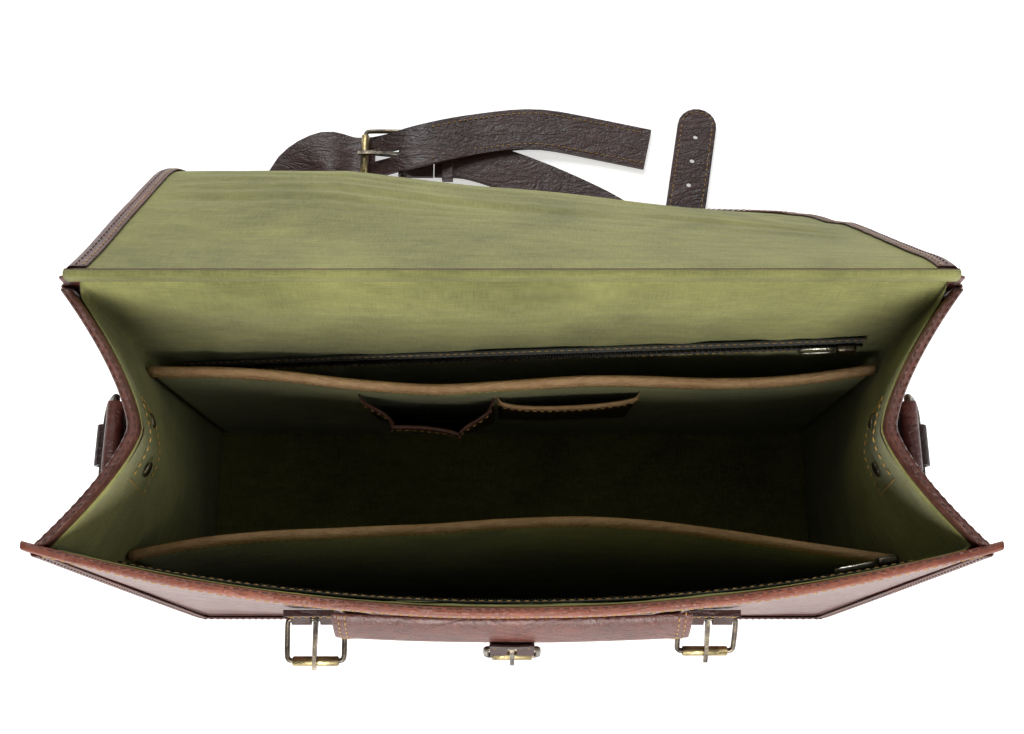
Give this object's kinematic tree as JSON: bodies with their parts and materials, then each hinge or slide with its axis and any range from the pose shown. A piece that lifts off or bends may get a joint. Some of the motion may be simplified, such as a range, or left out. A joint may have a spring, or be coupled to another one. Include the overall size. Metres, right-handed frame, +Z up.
{
  "type": "messenger bag",
  "caption": "Soft leather messenger bag standing open, its lined flap thrown back, with folded gussets, dividers, inner and outer pockets, roller-buckle closures and a shoulder strap.",
  "frame": {"origin": "middle of the underside of the bottom panel, on the surface the bag stands on", "axes": "+Z up, the front with its buckles and pocket faces -Y, +X to the wearer's left when the bag is seen from its front: the bag's long side runs along X"},
  "size_m": [0.5004, 0.4593, 0.3385],
  "materials": {
    "body_leather": "reddish-brown oiled goat leather, satin with a soft glare",
    "dark_leather": "dark brown oiled strap leather, satin",
    "rim_leather": "orange-brown edge binding, satin",
    "raw_leather": "undyed cut leather edge, matt",
    "canvas": "olive cotton canvas, matt",
    "flap_laminate": "leather flap faced with olive canvas",
    "zip_cloth": "dark woven zip tape",
    "buckle_metal": "antique brass worn to gunmetal, semi-gloss"
  },
  "bodies": {
    "bag": {"bottom_panel": "body_leather", "front_panel": "body_leather", "back_panel": "body_leather", "left_gusset": "body_leather", "right_gusset": "body_leather", "main_lining": "canvas", "front_rim_binding": "rim_leather", "left_rim_binding": "rim_leather", "right_rim_binding": "rim_leather", "front_divider": "canvas", "front_divider_edge": "raw_leather", "rear_divider": "canvas", "rear_divider_edge": "raw_leather", "phone_pocket": "dark_leather", "pen_pocket": "dark_leather", "rear_zip_tape": "zip_cloth", "front_zip_tape": "zip_cloth", "left_buckle_chape": "dark_leather", "right_buckle_chape": "dark_leather", "front_pocket": "body_leather", "left_side_tab": "body_leather", "right_side_tab": "body_leather", "left_rivet_front": "buckle_metal", "left_rivet_back": "buckle_metal", "right_rivet_front": "buckle_metal", "right_rivet_back": "buckle_metal", "long_strap": "dark_leather", "short_strap": "dark_leather", "strap_buckle_frame": "buckle_metal", "strap_buckle_tongue": "buckle_metal", "strap_buckle_chape": "dark_leather", "strap_rivet": "buckle_metal", "strap_keeper": "dark_leather"},
    "flap_upper_half": {"flap_upper": "flap_laminate"},
    "flap_lower_half": {"flap_lower": "flap_laminate", "left_closure_strap": "dark_leather", "right_closure_strap": "dark_leather"},
    "left_strap_tip": {"left_closure_tip": "dark_leather"},
    "right_strap_tip": {"right_closure_tip": "dark_leather"},
    "pocket_cover": {"pocket_flap": "body_leather", "pocket_strap": "dark_leather", "pocket_buckle_chape": "dark_leather"},
    "pocket_frame": {"pocket_buckle_frame": "buckle_metal"},
    "pocket_pin": {"pocket_buckle_tongue": "buckle_metal"},
    "pocket_roller": {"pocket_buckle_roller": "buckle_metal"},
    "left_frame": {"left_buckle_frame": "buckle_metal"},
    "left_pin": {"left_buckle_tongue": "buckle_metal"},
    "left_roller": {"left_buckle_roller": "buckle_metal"},
    "right_frame": {"right_buckle_frame": "buckle_metal"},
    "right_pin": {"right_buckle_tongue": "buckle_metal"},
    "right_roller": {"right_buckle_roller": "buckle_metal"},
    "strap_roller": {"strap_buckle_roller": "buckle_metal"},
    "rear_slider": {"rear_zip_slider": "buckle_metal"},
    "rear_puller": {"rear_zip_puller": "buckle_metal"},
    "front_slider": {"front_zip_slider": "buckle_metal"},
    "front_puller": {"front_zip_puller": "buckle_metal"},
    "left_ring": {"left_d_ring": "buckle_metal", "left_strap_end": "dark_leather"},
    "right_ring": {"right_d_ring": "buckle_metal", "right_strap_end": "dark_leather"}
  },
  "joints": [
    {"name": "flap_fold", "type": "hinge", "parent": "bag", "child": "flap_upper_half", "pos_m": [0, 0.062, 0.338], "axis": [1, 0, 0], "range_deg": [0, 226]},
    {"name": "flap_bend", "type": "hinge", "parent": "flap_upper_half", "child": "flap_lower_half", "pos_m": [0, 0.17433, 0.19928], "axis": [1, 0, 0], "range_deg": [0, 113.6]},
    {"name": "left_strap_bend", "type": "hinge", "parent": "flap_lower_half", "child": "left_strap_tip", "pos_m": [-0.13, 0.24031, 0.01097], "axis": [1, 0, 0], "range_deg": [0, 110.4]},
    {"name": "right_strap_bend", "type": "hinge", "parent": "flap_lower_half", "child": "right_strap_tip", "pos_m": [0.14, 0.24335, 0.00281], "axis": [-0.986, 0.1668, 0], "range_deg": [0, 69.6]},
    {"name": "pocket_flap_fold", "type": "hinge", "parent": "bag", "child": "pocket_cover", "pos_m": [0, -0.0975, 0.204], "axis": [1, 0, 0], "range_deg": [-140, 0]},
    {"name": "pocket_frame_pivot", "type": "hinge", "parent": "pocket_cover", "child": "pocket_frame", "pos_m": [0, -0.10731, 0.116], "axis": [1, 0, 0], "range_deg": [-84, 6]},
    {"name": "pocket_pin_pivot", "type": "hinge", "parent": "pocket_frame", "child": "pocket_pin", "pos_m": [0, -0.10731, 0.116], "axis": [1, 0, 0], "range_deg": [-60, 0]},
    {"name": "pocket_roller_spin", "type": "hinge", "parent": "pocket_frame", "child": "pocket_roller", "pos_m": [0, -0.10982, 0.09213], "axis": [1, 0, 0], "continuous": true},
    {"name": "left_frame_pivot", "type": "hinge", "parent": "bag", "child": "left_frame", "pos_m": [-0.13, -0.08581, 0.09], "axis": [1, 0, 0], "range_deg": [-12, 70]},
    {"name": "left_pin_pivot", "type": "hinge", "parent": "left_frame", "child": "left_pin", "pos_m": [-0.13, -0.08581, 0.09], "axis": [1, 0, 0], "range_deg": [-60, 0]},
    {"name": "left_roller_spin", "type": "hinge", "parent": "left_frame", "child": "left_roller", "pos_m": [-0.13, -0.1132, 0.08418], "axis": [1, 0, 0], "continuous": true},
    {"name": "right_frame_pivot", "type": "hinge", "parent": "bag", "child": "right_frame", "pos_m": [0.13, -0.08581, 0.09], "axis": [1, 0, 0], "range_deg": [-45, 37]},
    {"name": "right_pin_pivot", "type": "hinge", "parent": "right_frame", "child": "right_pin", "pos_m": [0.13, -0.08581, 0.09], "axis": [1, 0, 0], "range_deg": [-60, 0]},
    {"name": "right_roller_spin", "type": "hinge", "parent": "right_frame", "child": "right_roller", "pos_m": [0.13, -0.10561, 0.0702], "axis": [1, 0, 0], "continuous": true},
    {"name": "strap_roller_spin", "type": "hinge", "parent": "bag", "child": "strap_roller", "pos_m": [-0.12, 0.292, 0.014], "axis": [0, 1, 0], "continuous": true},
    {"name": "rear_zip_slide", "type": "slide", "parent": "bag", "child": "rear_slider", "axis": [0.991, -0.0065, 0.1338], "range_m": [-0.388, 0]},
    {"name": "rear_puller_turn", "type": "hinge", "parent": "rear_slider", "child": "rear_puller", "pos_m": [0.18806, 0.05507, 0.23389], "axis": [-0.1338, 0, 0.991], "range_deg": [0, 90]},
    {"name": "front_zip_slide", "type": "hinge", "parent": "bag", "child": "front_slider", "pos_m": [0, 0.98315, 0.278], "axis": [0, 0, 1], "range_deg": [-20.5, 0]},
    {"name": "front_puller_turn", "type": "hinge", "parent": "front_slider", "child": "front_puller", "pos_m": [0.18757, -0.07523, 0.278], "axis": [0, 0, -1], "range_deg": [0, 90]},
    {"name": "left_ring_swing", "type": "hinge", "parent": "bag", "child": "left_ring", "pos_m": [-0.20466, -0.014, 0.304], "axis": [0, 1, 0], "range_deg": [0, 25]},
    {"name": "right_ring_swing", "type": "hinge", "parent": "bag", "child": "right_ring", "pos_m": [0.20466, -0.014, 0.304], "axis": [0, -1, 0], "range_deg": [0, 25]}
  ]
}
